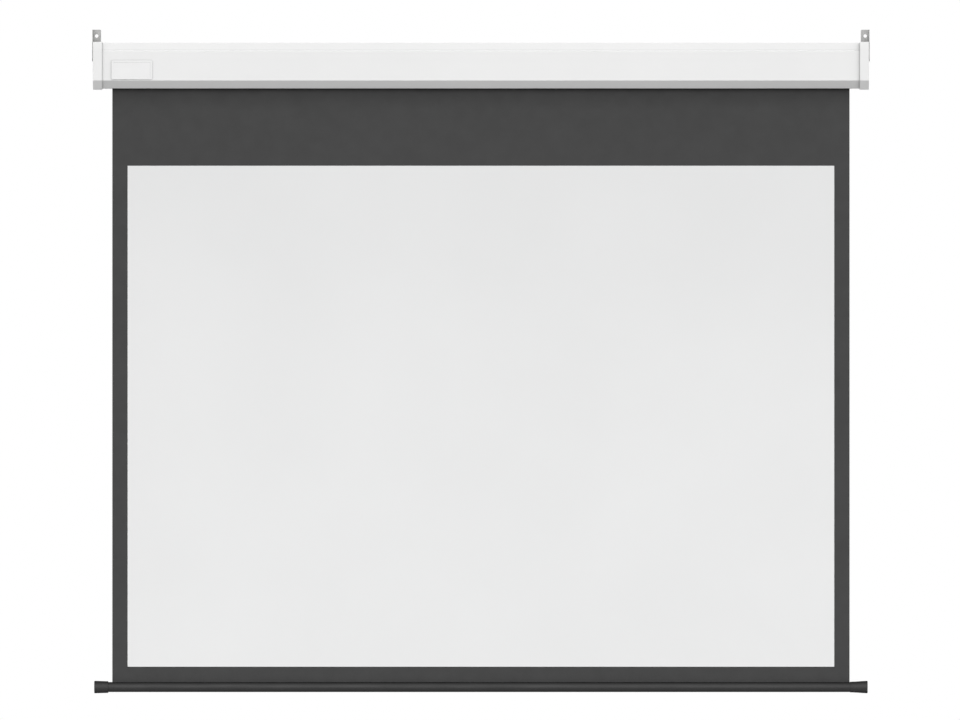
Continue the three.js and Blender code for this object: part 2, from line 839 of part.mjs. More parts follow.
// Terminal box in the lower rear corner, its lid, its block, and the gland through the floor.
const leadY = -(caseWall + boxWall + blockDepth / 2);
const boxLeft = limitScrewX + leadBend + boxRoom;
const boxFront = -(caseWall + boxDepth);
const boxFoot = caseFloor + caseWall;
const boxMiddle = boxFoot + boxHeight / 2;
const blockLeft = boxLeft + boxWidth - boxWall - blockInset - blockWidth;
const glandX = boxLeft + glandInset;
const glandY = (boxFront - caseWall) / 2;

function uprightHole(radius, from, to) {
  return new THREE.CylinderGeometry(radius, radius, to - from, smallSides)
    .rotateX(Math.PI / 2)
    .translate(glandX, glandY, (from + to) / 2);
}

function terminalBox() {
  const body = new THREE.BoxGeometry(boxWidth, boxDepth, boxHeight)
    .translate(boxLeft + boxWidth / 2, boxFront + boxDepth / 2, boxMiddle);
  const room = new THREE.BoxGeometry(boxWidth - 2 * boxWall, boxDepth, boxHeight - 2 * boxWall)
    .translate(boxLeft + boxWidth / 2, boxFront + boxDepth / 2 - boxWall, boxMiddle);
  const entry = pin(leadRadius + gap, boxLeft - cutOver, boxLeft + boxWall + cutOver, leadY, boxMiddle);
  const threadHole = uprightHole(glandThread + gap, boxFoot - cutOver, boxFoot + boxWall + cutOver);
  return cut(body, [room, entry, threadHole]);
}

function boxLid() {
  return new THREE.BoxGeometry(boxWidth, boxWall, boxHeight)
    .translate(boxLeft + boxWidth / 2, boxFront - boxWall / 2, boxMiddle);
}

function terminalBlock() {
  const rear = -(caseWall + boxWall);
  const body = new THREE.BoxGeometry(blockWidth, blockDepth, blockHeight)
    .translate(blockLeft + blockWidth / 2, rear - blockDepth / 2, boxMiddle);
  const poles = Array.from({ length: blockPoles }, (_, i) => (
    new THREE.CylinderGeometry(blockPoleRadius, blockPoleRadius, blockDepth, smallSides)
      .translate(blockLeft + blockWidth * (i + 1 / 2) / blockPoles, rear - blockDepth, boxMiddle)
  ));
  return cut(body, poles);
}

function cableGland() {
  const tip = -(glandFlangeThickness + glandDomeLength);
  const length = caseWall + boxWall + glandNutLength + glandThreadSpare;
  return new THREE.LatheGeometry([
    [0, tip + glandRecess],
    [glandBore, tip + glandRecess],
    [glandBore, tip],
    [glandDomeTip, tip],
    [glandDome, tip + glandDomeLength / 2],
    [glandDome, -glandFlangeThickness],
    [glandFlange, -glandFlangeThickness],
    [glandFlange, 0],
    [glandThread, 0],
    [glandThread, length],
    [0, length],
  ].map(([x, y]) => new THREE.Vector2(x, y)), smallSides).rotateX(Math.PI / 2);
}

function glandNut() {
  const hexagon = circle(glandFlange, keySides);
  return new THREE.ExtrudeGeometry(shapeOf(hexagon, [circle(glandThread + gap, smallSides)]), {
    depth: glandNutLength,
    bevelEnabled: false,
  });
}

// The lead leaves the motor head below its back, bends down and then along to the terminal block.
function motorLead() {
  const turn = Math.PI / 2;
  const out = [headRadius + gap, headRadius + gap + leadBend].map((reach) => (
    new THREE.Vector3(limitScrewX, axisY + reach * Math.cos(leadExit), axisZ + reach * Math.sin(leadExit))
  ));
  const along = arc(limitScrewX + leadBend, boxMiddle + leadBend, leadBend, 2 * turn, 3 * turn, leadBendSteps)
    .map(([x, z]) => new THREE.Vector3(x, leadY, z));
  const straight = [boxLeft - boxRoom / 2, boxLeft, boxLeft + boxWall, blockLeft - gap]
    .map((x) => new THREE.Vector3(x, leadY, boxMiddle));
  const extrudePath = new THREE.CatmullRomCurve3([...out, ...along, ...straight]);
  return new THREE.ExtrudeGeometry(shapeOf(circle(leadRadius, leadSides)), {
    steps: leadSteps,
    extrudePath,
    bevelEnabled: false,
  });
}

// Bare plate with a raised rim.
function namePlate() {
  const outline = roundedRectangle(plateWidth, plateHeight, plateCorner);
  const inner = roundedRectangle(plateWidth - 2 * plateRim, plateHeight - 2 * plateRim, plateCorner / 2);
  const settings = { depth: plateDepth, bevelEnabled: false };
  const body = new THREE.ExtrudeGeometry(shapeOf(outline), settings).rotateX(Math.PI / 2);
  const recess = new THREE.ExtrudeGeometry(shapeOf(inner), settings).rotateX(Math.PI / 2);
  return cut(body, [recess.translate(0, plateRecess - plateDepth, 0)]);
}

// The screen, group by group.
const screen = new THREE.Group();

const casing = new THREE.Group();
screen.add(casing);
place(casing, 'casing_front', frontShell(), 'casing');
place(casing, 'casing_rear', rearShell(), 'casing');
place(casing, 'nameplate', namePlate(), 'plate',
  plateInset + plateWidth / 2 - (capFace - capWidth), -caseDepth, caseTop - plateDrop - plateHeight / 2);

const headScrewHoles = headScrewPlaces.map((y) => [headScrewRadius + gap, axisY + y, axisZ]);
const bushHole = [pinRadius + 2 * gap + bushWall, axisY, axisZ];
const ends = [
  ['left', 1, 'motor_bracket_plate', headScrewHoles],
  ['right', -1, 'idler_bracket_plate', [bushHole]],
];
for (const [side, inward, plateName, holes] of ends) {
  const end = new THREE.Group();
  end.position.x = -inward * capFace;
  screen.add(end);
  place(end, `end_cap_${side}`, endCap(inward), 'cap');
  place(end, `hanging_bracket_${side}`, hangingBracket(inward), 'steel');
  place(end, plateName, endPlate(inward, holes), 'zinc');
  ['upper', 'lower'].forEach((height, i) => {
    const capScrew = panScrew(capScrewRadius, capScrewHead, capScrewHeadHeight, plateInner - gap, inward);
    place(end, `cap_screw_${side}_${height}`, capScrew, 'zinc', 0, ...capScrewPlaces[i]);
    place(end, `bracket_screw_${side}_${height}`, bracketScrew(inward), 'zinc',
      -inward * bracketSteel, ...bracketScrewPlaces[1 - i]);
  });
}

const roller = new THREE.Group();
roller.position.set(0, axisY, axisZ);
screen.add(roller);
place(roller, 'roller_tube', rollerTube(), 'zinc');
place(roller, 'fabric_clamp_strip', clampStrip(), 'whitePlastic');
const turnsLeft = ring(rollRadius, rollInner, -fabricWidth / 2, fabricWidth / 2, roundSides);
place(roller, 'fabric_roll', turnsLeft, 'blackCloth');
place(roller, 'crown_ring', crownRing(), 'blackPlastic');
place(roller, 'drive_wheel', driveWheel(), 'blackPlastic');
place(roller, 'idler_plug', idlerPlug(), 'blackPlastic');
place(roller, 'idler_pin', idlerPin(), 'zinc');
place(roller, 'idler_bush', idlerBush(), 'whitePlastic');

const motor = new THREE.Group();
roller.add(motor);
place(motor, 'motor_head', motorHead(), 'blackPlastic');
const shell = ring(shellRadius, shellRadius - shellWall, headFace, shellEnd, hiddenSides);
place(motor, 'motor_shell', shell, 'zinc');
place(motor, 'limit_switch_unit', rod(coreRadius, ...switchSpan, hiddenSides), 'greyPlastic');
place(motor, 'motor_capacitor', rod(coreRadius, ...capacitorSpan, hiddenSides), 'greyPlastic');
place(motor, 'motor_brake', coreRing(shaftRadius + gap, brakeSpan), 'zinc');
place(motor, 'rotor_bearing_rear', coreRing(shaftRadius + gap, rearBearingSpan), 'zinc');
place(motor, 'rotor_bearing_front', coreRing(shaftRadius + gap, frontBearingSpan), 'zinc');
place(motor, 'motor_stator', coreRing(coreRadius - statorWall, statorSpan), 'copperIron');
place(motor, 'motor_rotor', motorRotor(), 'zinc');
place(motor, 'ring_gear', ringGear(), 'greyPlastic');
place(motor, 'sun_gear', outerGear(sunTeeth, sunPitch, sunBore, planetAngles[0]), 'brass');
planetAngles.forEach((angle, i) => {
  const planet = outerGear(planetTeeth, planetPitch, planetPinRadius + gap, angle);
  const spot = [planetOrbit * Math.cos(angle), planetOrbit * Math.sin(angle)];
  place(motor, `planet_gear_${i + 1}`, planet, 'brass', 0, ...spot);
});
place(motor, 'output_carrier', outputCarrier(), 'zinc');
place(motor, 'output_bearing', coreRing(outputRadius + gap, outputBearingSpan), 'zinc');
headScrewPlaces.forEach((y, i) => {
  const length = headScrewHeadHeight + plateThickness + headScrewLength;
  const screw = panScrew(headScrewRadius, headScrewHead, headScrewHeadHeight, length, 1);
  const start = plateOuter - capFace - headScrewHeadHeight;
  place(motor, `motor_head_screw_${['rear', 'front'][i]}`, screw, 'zinc', start, y);
});

const limits = new THREE.Group();
limits.rotation.x = slotLean;
motor.add(limits);
place(limits, 'limit_screw_up', limitScrew(), 'brass', limitScrewX, -limitScrewSpread, -landRise);
place(limits, 'limit_screw_down', limitScrew(), 'brass', limitScrewX, limitScrewSpread, -landRise);

const wiring = new THREE.Group();
screen.add(wiring);
place(wiring, 'terminal_box', terminalBox(), 'greyPlastic');
place(wiring, 'terminal_box_lid', boxLid(), 'greyPlastic');
place(wiring, 'terminal_block', terminalBlock(), 'whitePlastic');
place(wiring, 'motor_lead', motorLead(), 'blackPlastic');
place(wiring, 'cable_gland', cableGland(), 'blackPlastic', glandX, glandY, caseFloor);
place(wiring, 'gland_nut', glandNut(), 'blackPlastic', glandX, glandY, boxFoot + boxWall);

const fabric = new THREE.Group();
fabric.position.y = fabricMid;
screen.add(fabric);
const clothHeight = axisZ - hemTop;
const cloth = new THREE.BoxGeometry(fabricWidth, clothThickness, clothHeight);
const coat = new THREE.BoxGeometry(pictureWidth, coatThickness, pictureHeight);
const coatY = -(clothThickness + coatThickness) / 2;
place(fabric, 'fabric_sheet', cloth, 'blackCloth', 0, 0, hemTop + clothHeight / 2);
place(fabric, 'white_surface', coat, 'whiteCoat', 0, coatY, hemTop + pictureHeight / 2);

const weightBar = new THREE.Group();
weightBar.position.set(0, fabricMid, barZ);
screen.add(weightBar);
place(weightBar, 'fabric_hem', fabricHem(), 'blackCloth');
const hemRod = rod(hemRodRadius, -fabricWidth / 2, fabricWidth / 2, smallSides);
place(weightBar, 'hem_rod', hemRod, 'whitePlastic', 0, 0, hemRise);
place(weightBar, 'weight_bar_tube', weightBarTube(), 'bar');
place(weightBar, 'weight_bar_cap_left', barCap(leftCapLength, 1), 'bar', -barEnd);
place(weightBar, 'weight_bar_cap_right', barCap(rightCapLength, -1), 'bar', barEnd);

export default screen;
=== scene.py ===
# %% [markdown]
# # A motorized projection screen
# The screen hangs from two steel brackets. A white casing holds a motor and a roller, black cloth
# drops from it with a white coat on its picture area, and a round black bar pulls the cloth straight.
# The CAD model gives every place and size, so the first step is to load it. Lengths are in metres unless
# a name ends in `_mm` or `_px`. The outlines of the turned pieces are in millimetres too.

# %% Load the frame
import json
import math

import bmesh
import bpy
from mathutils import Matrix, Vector


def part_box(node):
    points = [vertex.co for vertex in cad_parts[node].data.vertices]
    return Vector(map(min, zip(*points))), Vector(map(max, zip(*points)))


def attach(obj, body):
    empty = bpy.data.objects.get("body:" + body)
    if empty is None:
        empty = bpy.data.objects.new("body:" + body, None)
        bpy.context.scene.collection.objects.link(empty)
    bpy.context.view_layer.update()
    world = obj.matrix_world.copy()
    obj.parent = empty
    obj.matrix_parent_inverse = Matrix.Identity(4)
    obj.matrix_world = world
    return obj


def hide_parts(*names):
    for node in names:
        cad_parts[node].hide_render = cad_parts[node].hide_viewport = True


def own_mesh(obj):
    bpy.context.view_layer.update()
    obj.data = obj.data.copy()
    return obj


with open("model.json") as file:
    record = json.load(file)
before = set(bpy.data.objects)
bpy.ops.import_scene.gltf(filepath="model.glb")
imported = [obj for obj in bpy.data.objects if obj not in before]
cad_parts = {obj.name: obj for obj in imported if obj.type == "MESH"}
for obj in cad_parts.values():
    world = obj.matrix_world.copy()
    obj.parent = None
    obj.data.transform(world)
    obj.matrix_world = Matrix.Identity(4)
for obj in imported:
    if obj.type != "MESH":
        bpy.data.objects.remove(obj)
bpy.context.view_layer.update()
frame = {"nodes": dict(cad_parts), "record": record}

# %% [markdown]
# ## The camera
# The photograph was taken straight on, and hardly anything in it shrinks with distance: the brackets,
# which stand a hand's width behind the casing's front, keep their full size. A parallel view would give
# that, but its scale stays fixed when the camera goes round the object, and the turned screen would run
# out of the picture. So the camera stands very far away, with a very long lens. The picture area is
# 1800 mm wide and covers a known number of pixels, which gives the size of one pixel, and the casing's
# top edge gives the camera's height.

# %% Camera
MM = 0.001
photo_width_px = 960
photo_height_px = 720
mm_per_px = 2.5473
object_middle_px = 480.93
casing_top_px = 42.9
casing_top_mm = 58
camera_distance = 85
view_width = photo_width_px * mm_per_px * MM

camera_data = bpy.data.cameras.new("camera")
camera_data.lens = camera_data.sensor_width * camera_distance / view_width
camera_data.clip_end = 2 * camera_distance
camera = bpy.data.objects.new("camera", camera_data)
bpy.context.scene.collection.objects.link(camera)
camera.location = (
    (photo_width_px / 2 - object_middle_px) * mm_per_px * MM,
    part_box("fabric_sheet")[0].y - camera_distance,
    (casing_top_mm - (photo_height_px / 2 - casing_top_px) * mm_per_px) * MM,
)
camera.rotation_euler = (math.radians(90), 0, 0)
bpy.context.scene.camera = camera
bpy.context.scene.view_settings.view_transform = "Standard"
print("lens", round(camera_data.lens), "mm, camera height", round(camera.location.z, 4), "m")

# %% [markdown]
# ## Light, floor and background
# The photograph has a plain white background and soft light. Shading tells where it comes from. The
# casing's upright front is nearly as bright as the band that leans back above it, so the main light is
# low and in front. The slope under the front keeps half of the light. The casing is shaded beside both
# caps, for longer beside the right one, so a second light stands well to the right. Area lamps would
# do, but then the casing and the bar, which are 1.5 m apart, would get unlike light. A sun lamp with a
# wide angle is just as soft and lights everything alike. A third sun behind the screen, which the
# photograph doesn't see, shows the back when the screen is turned round.

# %% Three soft suns
def soft_sun(name, elevation, azimuth, strength, width):
    """Angles in degrees, azimuth from the front to the right. A white surface that faces the sun
    comes out at strength."""
    data = bpy.data.lights.new(name, "SUN")
    data.energy = strength * math.pi
    data.angle = math.radians(width)
    sun = bpy.data.objects.new(name, data)
    bpy.context.scene.collection.objects.link(sun)
    sun.rotation_euler = (math.radians(90 - elevation), 0, math.radians(azimuth))
    print(name, "from", elevation, "degrees up and", azimuth, "to the right, strength", strength)


soft_sun("front_sun", elevation=20, azimuth=-2, strength=0.67, width=64)
soft_sun("right_sun", elevation=22, azimuth=60, strength=0.3, width=60)
soft_sun("rear_sun", elevation=25, azimuth=200, strength=0.55, width=64)

# %% [markdown]
# The sky fills the shadows, more from above than from below. Camera, mirror and glass rays see it as
# plain white, so the background is white without more light falling on the object. The floor does the
# same: it is white to look at, but sends little light up. It lies well below the bar, because the screen
# hangs high on a wall, and there it hides nothing when the screen is seen from below.

# %% Sky
def seen_directly(nodes, links):
    """1 for the rays that show the background itself: camera, mirror and glass rays."""
    paths = nodes.new("ShaderNodeLightPath")
    whole = paths.outputs["Is Camera Ray"]
    for name in ("Is Glossy Ray", "Is Transmission Ray"):
        both = nodes.new("ShaderNodeMath")
        both.operation = "MAXIMUM"
        links.new(whole, both.inputs[0])
        links.new(paths.outputs[name], both.inputs[1])
        whole = both.outputs[0]
    return whole


sky_above = 0.44
sky_below = 0.04
world = bpy.data.worlds.new("sky")
bpy.context.scene.world = world
world.use_nodes = True
nodes, links = world.node_tree.nodes, world.node_tree.links
direction = nodes.new("ShaderNodeTexCoord")
axes = nodes.new("ShaderNodeSeparateXYZ")
links.new(direction.outputs["Generated"], axes.inputs[0])
height = nodes.new("ShaderNodeMapRange")
height.inputs["From Min"].default_value = -1
height.inputs["To Min"].default_value = sky_below
height.inputs["To Max"].default_value = sky_above
links.new(axes.outputs["Z"], height.inputs["Value"])
strength = nodes.new("ShaderNodeMix")
strength.inputs["B"].default_value = 1
links.new(seen_directly(nodes, links), strength.inputs["Factor"])
links.new(height.outputs["Result"], strength.inputs["A"])
background = nodes["Background"]
background.inputs["Color"].default_value = (1, 1, 1, 1)
links.new(strength.outputs["Result"], background.inputs["Strength"])
print("sky from", sky_below, "to", sky_above)

# %% Floor
floor_z = -4.5
floor_half = 3.0
floor_mesh = bpy.data.meshes.new("floor")
corners = [(-1, -1), (1, -1), (1, 1), (-1, 1)]
floor_points = [(x * floor_half, y * floor_half, floor_z) for x, y in corners]
floor_mesh.from_pydata(floor_points, [], [(0, 1, 2, 3)])
floor = bpy.data.objects.new("floor", floor_mesh)
bpy.context.scene.collection.objects.link(floor)

bounced_grey = 0.1
seen_grey = 0.92
seen_glow = 0.25
floor_paint = bpy.data.materials.new("floor_paint")
floor_paint.use_nodes = True
nodes, links = floor_paint.node_tree.nodes, floor_paint.node_tree.links
shade = nodes.new("ShaderNodeMix")
shade.data_type = "RGBA"
shade.inputs["A"].default_value = (bounced_grey, bounced_grey, bounced_grey, 1)
shade.inputs["B"].default_value = (seen_grey, seen_grey, seen_grey, 1)
seen = seen_directly(nodes, links)
links.new(seen, shade.inputs["Factor"])
paint = nodes["Principled BSDF"]
paint.inputs["Roughness"].default_value = 0.9
paint.inputs["Emission Color"].default_value = (1, 1, 1, 1)
links.new(shade.outputs["Result"], paint.inputs["Base Color"])
lift = nodes.new("ShaderNodeMath")
lift.operation = "MULTIPLY"
lift.inputs[1].default_value = seen_glow
links.new(seen, lift.inputs[0])
links.new(lift.outputs[0], paint.inputs["Emission Strength"])
floor_mesh.materials.append(floor_paint)
print("floor", 2 * floor_half, "m wide at", floor_z, "m")

# %% [markdown]
# ## Finishes
# No real surface is one flat colour. Powder paint has a faint ripple, moulded plastic has a spark
# texture, zinc has crystals and brush lines, and cloth has threads. Each of these could be a picture
# wrapped round the piece, but a few noise nodes read the place of each point in metres, so the
# texture keeps its true size on every piece and needs no unwrapping.

# %% Helpers for finishes
finishes = {}


def finish(name, roughness, metallic=0.0, specular=0.5):
    """A new material, kept in finishes under the name of the CAD slot it is for."""
    made = bpy.data.materials.new(name + "_look")
    finishes[name] = made
    made.use_nodes = True
    shader = made.node_tree.nodes["Principled BSDF"]
    shader.inputs["Roughness"].default_value = roughness
    shader.inputs["Metallic"].default_value = metallic
    shader.inputs["Specular IOR Level"].default_value = specular
    return made


def node(made, kind, **settings):
    new = made.node_tree.nodes.new(kind)
    for key_name, value in settings.items():
        setattr(new, key_name, value)
    return new


def join(made, output, socket):
    made.node_tree.links.new(output, socket)


def noise(made, grain_mm, stretch=(1, 1, 1), detail=2.0):
    """Noise whose grains are about grain_mm across, drawn out along an axis where stretch is over 1."""
    place = node(made, "ShaderNodeTexCoord")
    scale = node(made, "ShaderNodeMapping")
    scale.inputs["Scale"].default_value = [1 / s for s in stretch]
    join(made, place.outputs["Object"], scale.inputs["Vector"])
    grain = node(made, "ShaderNodeTexNoise")
    grain.inputs["Scale"].default_value = 1 / (grain_mm * MM)
    grain.inputs["Detail"].default_value = detail
    join(made, scale.outputs["Vector"], grain.inputs["Vector"])
    return grain.outputs["Fac"]


noise_low = 0.3
noise_high = 0.7


def spread(made, value, low, high):
    """Noise gathers round a half, so its usual range is spread over low to high."""
    stretch = node(made, "ShaderNodeMapRange")
    stretch.inputs["From Min"].default_value = noise_low
    stretch.inputs["From Max"].default_value = noise_high
    stretch.inputs["To Min"].default_value = low
    stretch.inputs["To Max"].default_value = high
    join(made, value, stretch.inputs["Value"])
    return stretch.outputs["Result"]


def tint(made, value, dark, light):
    """Base colour between two shades, by a value from 0 to 1."""
    shades = node(made, "ShaderNodeMix", data_type="RGBA")
    shades.inputs["A"].default_value = (*dark, 1)
    shades.inputs["B"].default_value = (*light, 1)
    join(made, value, shades.inputs["Factor"])
    join(made, shades.outputs["Result"], made.node_tree.nodes["Principled BSDF"].inputs["Base Color"])


def gloss(made, value):
    join(made, value, made.node_tree.nodes["Principled BSDF"].inputs["Roughness"])


def relief(made, value, depth_mm):
    """Height from a value, as bump. Reliefs that follow one another are laid on top of each other."""
    shader = made.node_tree.nodes["Principled BSDF"]
    raised = node(made, "ShaderNodeBump")
    raised.inputs["Distance"].default_value = depth_mm * MM
    join(made, value, raised.inputs["Height"])
    if shader.inputs["Normal"].links:
        join(made, shader.inputs["Normal"].links[0].from_socket, raised.inputs["Normal"])
    join(made, raised.outputs["Normal"], shader.inputs["Normal"])


# Painted shade: the ambient occlusion value multiplies the base colour, so corners, seams and gaps
# between parts come out darker.
def painted_corner_shade(made, reach_mm, depth):
    """Paints shade into the colour where surfaces within reach_mm crowd a point in, as ambient
    occlusion. A larger depth is darker.
    """
    colour = made.node_tree.nodes["Principled BSDF"].inputs["Base Color"]
    open_share = node(made, "ShaderNodeAmbientOcclusion", samples=8)
    open_share.inputs["Distance"].default_value = reach_mm * MM
    deepened = node(made, "ShaderNodeMath", operation="POWER")
    deepened.inputs[1].default_value = depth
    join(made, open_share.outputs["AO"], deepened.inputs[0])
    darker = node(made, "ShaderNodeMix", data_type="RGBA", blend_type="MULTIPLY")
    darker.inputs["Factor"].default_value = 1
    join(made, colour.links[0].from_socket, darker.inputs["A"])
    join(made, deepened.outputs[0], darker.inputs["B"])
    join(made, darker.outputs["Result"], colour)


def painted_shade_upwards(made, from_z, to_z, share):
    """Paints shade into the colour: darker from nothing at height from_z to share at height to_z."""
    colour = made.node_tree.nodes["Principled BSDF"].inputs["Base Color"]
    place = node(made, "ShaderNodeTexCoord")
    apart = node(made, "ShaderNodeSeparateXYZ")
    join(made, place.outputs["Object"], apart.inputs[0])
    fade = node(made, "ShaderNodeMapRange", interpolation_type="SMOOTHSTEP")
    fade.inputs["From Min"].default_value = from_z
    fade.inputs["From Max"].default_value = to_z
    fade.inputs["To Max"].default_value = share
    join(made, apart.outputs["Z"], fade.inputs["Value"])
    faded = node(made, "ShaderNodeMix", data_type="RGBA")
    faded.inputs["B"].default_value = (0, 0, 0, 1)
    join(made, fade.outputs["Result"], faded.inputs["Factor"])
    join(made, colour.links[0].from_socket, faded.inputs["A"])
    join(made, faded.outputs["Result"], colour)


def grey(level):
    return (level, level, level)


print("helpers for finishes are ready")

# %% [markdown]
# ### Paint and plastic
# The casing is sheet metal under white powder paint, which dries with a fine ripple like the skin of
# an orange. The caps are moulded in a tool whose surface was roughened by sparks. Both drift very
# slightly in shade over some hundreds of millimetres, which keeps a long flat face from looking dead.
# Shade is painted into the colour where surfaces meet. In the photograph the casing is darker beside its
# caps and at every seam. An ambient occlusion node tells how much room a point has, so it darkens the
# white finishes' colour there as painted shade, once for narrow corners and once for wide ones.

# %% Paint and plastic
casing_paint = finish("casing_paint", 0.5, specular=0.3)
paint_drift = spread(casing_paint, noise(casing_paint, 320), 0, 1)
tint(casing_paint, paint_drift, (0.795, 0.796, 0.794), (0.81, 0.81, 0.808))
gloss(casing_paint, spread(casing_paint, noise(casing_paint, 45), 0.46, 0.54))
relief(casing_paint, noise(casing_paint, 2.2), depth_mm=0.08)

cap_plastic = finish("cap_plastic", 0.55, specular=0.3)
cap_drift = spread(cap_plastic, noise(cap_plastic, 60), 0, 1)
tint(cap_plastic, cap_drift, (0.8, 0.8, 0.798), (0.812, 0.812, 0.81))
gloss(cap_plastic, spread(cap_plastic, noise(cap_plastic, 20), 0.5, 0.6))
relief(cap_plastic, noise(cap_plastic, 0.7, detail=3), depth_mm=0.09)

plate_plastic = finish("plate_plastic", 0.45, specular=0.35)
tint(plate_plastic, spread(plate_plastic, noise(plate_plastic, 25), 0, 1), grey(0.8), grey(0.815))
gloss(plate_plastic, spread(plate_plastic, noise(plate_plastic, 12), 0.42, 0.5))
relief(plate_plastic, noise(plate_plastic, 0.6), depth_mm=0.04)

# Painted shade: the white finishes are darkened beside the caps, at seams and in corners, where shade
# falls.
for white_finish in (casing_paint, cap_plastic, plate_plastic):
    painted_corner_shade(white_finish, reach_mm=5, depth=0.2)
    painted_corner_shade(white_finish, reach_mm=50, depth=0.5)


def moulded(name, dark, light, roughness, grain_mm):
    """A plain moulded plastic with a fine spark texture."""
    made = finish(name, roughness)
    tint(made, spread(made, noise(made, 15), 0, 1), dark, light)
    gloss(made, spread(made, noise(made, 6), roughness - 0.05, roughness + 0.05))
    relief(made, noise(made, grain_mm, detail=3), depth_mm=0.02)
    return made


black_plastic = moulded("black_plastic", grey(0.022), grey(0.03), roughness=0.5, grain_mm=0.4)
moulded("grey_plastic", (0.24, 0.25, 0.26), (0.28, 0.29, 0.3), roughness=0.5, grain_mm=0.5)
moulded("white_plastic", (0.72, 0.7, 0.66), (0.78, 0.76, 0.72), roughness=0.45, grain_mm=0.5)
print("paint and plastic:", casing_paint.name, cap_plastic.name, black_plastic.name)

# %% [markdown]
# ### The black bar
# The bar is an aluminium tube that was dyed black as it was anodised, and its caps have the same sheen.
# In the photograph a soft streak of light runs along it, a little above the middle, and its upper and
# lower edges are almost black. A dark metal does that, with a black tint for its grazing reflections.

# %% Bar finishes
def black_sheen(name, dark, light, roughness, grain_mm, stretch):
    """A dark metal whose shine is drawn out along an axis where stretch is over 1."""
    made = finish(name, roughness, metallic=1.0)
    made.node_tree.nodes["Principled BSDF"].inputs["Specular Tint"].default_value = (0, 0, 0, 1)
    tint(made, spread(made, noise(made, grain_mm * 10), 0, 1), dark, light)
    gloss(made, spread(made, noise(made, grain_mm, stretch=stretch), roughness - 0.04, roughness + 0.04))
    relief(made, noise(made, grain_mm / 4, detail=3), depth_mm=0.012)
    return made


bar_dark = grey(0.038)
bar_light = grey(0.042)
bar_paint = black_sheen("bar_paint", bar_dark, bar_light, roughness=0.58, grain_mm=8, stretch=(12, 1, 1))
bar_cap_plastic = black_sheen(
    "bar_cap_plastic", bar_dark, bar_light, roughness=0.6, grain_mm=2, stretch=(1, 1, 1),
)
print("bar finishes:", bar_paint.name, bar_cap_plastic.name)

# %% [markdown]
# ### Metals
# Zinc plating on folded steel shows pale crystals a few millimetres across under fine brush lines.
# Voronoi cells make the crystals, and noise drawn out along one axis makes the lines. The brass is made
# in the same way, and the motor's core and windings are dark iron with streaks of copper.

# %% Metals
def crystals(made, size_mm):
    """A random shade for each cell, like the spangle of zinc."""
    place = node(made, "ShaderNodeTexCoord")
    cells = node(made, "ShaderNodeTexVoronoi")
    cells.inputs["Scale"].default_value = 1 / (size_mm * MM)
    join(made, place.outputs["Object"], cells.inputs["Vector"])
    shade = node(made, "ShaderNodeSeparateColor")
    join(made, cells.outputs["Color"], shade.inputs["Color"])
    return shade.outputs["Red"]


def plated(name, dark, light, crystal_mm, lines_along):
    """Crystals under brush lines, which run along the axis where lines_along is over 1."""
    made = finish(name, 0.4, metallic=1.0)
    tint(made, crystals(made, crystal_mm), dark, light)
    gloss(made, spread(made, noise(made, 0.6, stretch=lines_along, detail=4), 0.32, 0.5))
    relief(made, noise(made, 0.5, stretch=lines_along, detail=3), depth_mm=0.01)
    return made


bracket_steel = plated(
    "bracket_steel", (0.175, 0.175, 0.173), (0.215, 0.215, 0.212), crystal_mm=3, lines_along=(1, 1, 30),
)
zinc_steel = plated(
    "zinc_steel", (0.5, 0.505, 0.51), (0.6, 0.605, 0.61), crystal_mm=2, lines_along=(30, 1, 1),
)
brass = plated("brass", (0.55, 0.42, 0.17), (0.66, 0.52, 0.24), crystal_mm=4, lines_along=(1, 20, 1))

copper_iron = finish("copper_iron", 0.55, metallic=0.4)
wire_along = (1, 8, 8)
wire_shade = spread(copper_iron, noise(copper_iron, 0.8, stretch=wire_along), 0, 1)
tint(copper_iron, wire_shade, (0.12, 0.1, 0.09), (0.42, 0.22, 0.1))
relief(copper_iron, noise(copper_iron, 0.8, stretch=wire_along), depth_mm=0.1)
print("metals:", bracket_steel.name, zinc_steel.name, brass.name, copper_iron.name)

# %% [markdown]
# ### Cloth
# The base is woven glass yarn with a black coat, and the picture area has a matte white coat over the
# same weave. A plain weave is a checkerboard of threads that pass over and under each other. Two sines,
# one along each thread direction, give the round backs of the threads, and a checker chooses which of
# them is on top. Shade is painted into both colours: the black cloth is painted darker close under the
# casing that it comes out of, where the casing's shade falls, and the white coat is painted a little
# darker towards its top.

# %% Cloth finishes
def weave(made, pitch_mm):
    """Height of a plain weave in X and Z, from 0 to 1, with one thread every pitch_mm."""
    place = node(made, "ShaderNodeTexCoord")
    apart = node(made, "ShaderNodeSeparateXYZ")
    join(made, place.outputs["Object"], apart.inputs[0])
    backs = []
    for axis in ("X", "Z"):
        turn = node(made, "ShaderNodeMath", operation="MULTIPLY")
        turn.inputs[1].default_value = math.pi / (pitch_mm * MM)
        join(made, apart.outputs[axis], turn.inputs[0])
        wave = node(made, "ShaderNodeMath", operation="SINE")
        join(made, turn.outputs[0], wave.inputs[0])
        back = node(made, "ShaderNodeMath", operation="ABSOLUTE")
        join(made, wave.outputs[0], back.inputs[0])
        backs.append(back.outputs[0])
    flat = node(made, "ShaderNodeCombineXYZ")
    join(made, apart.outputs["X"], flat.inputs["X"])
    join(made, apart.outputs["Z"], flat.inputs["Y"])
    checker = node(made, "ShaderNodeTexChecker")
    checker.inputs["Scale"].default_value = 1 / (pitch_mm * MM)
    join(made, flat.outputs[0], checker.inputs["Vector"])
    on_top = node(made, "ShaderNodeMix")
    join(made, checker.outputs["Fac"], on_top.inputs["Factor"])
    join(made, backs[0], on_top.inputs["A"])
    join(made, backs[1], on_top.inputs["B"])
    return on_top.outputs["Result"]


thread_mm = 0.6

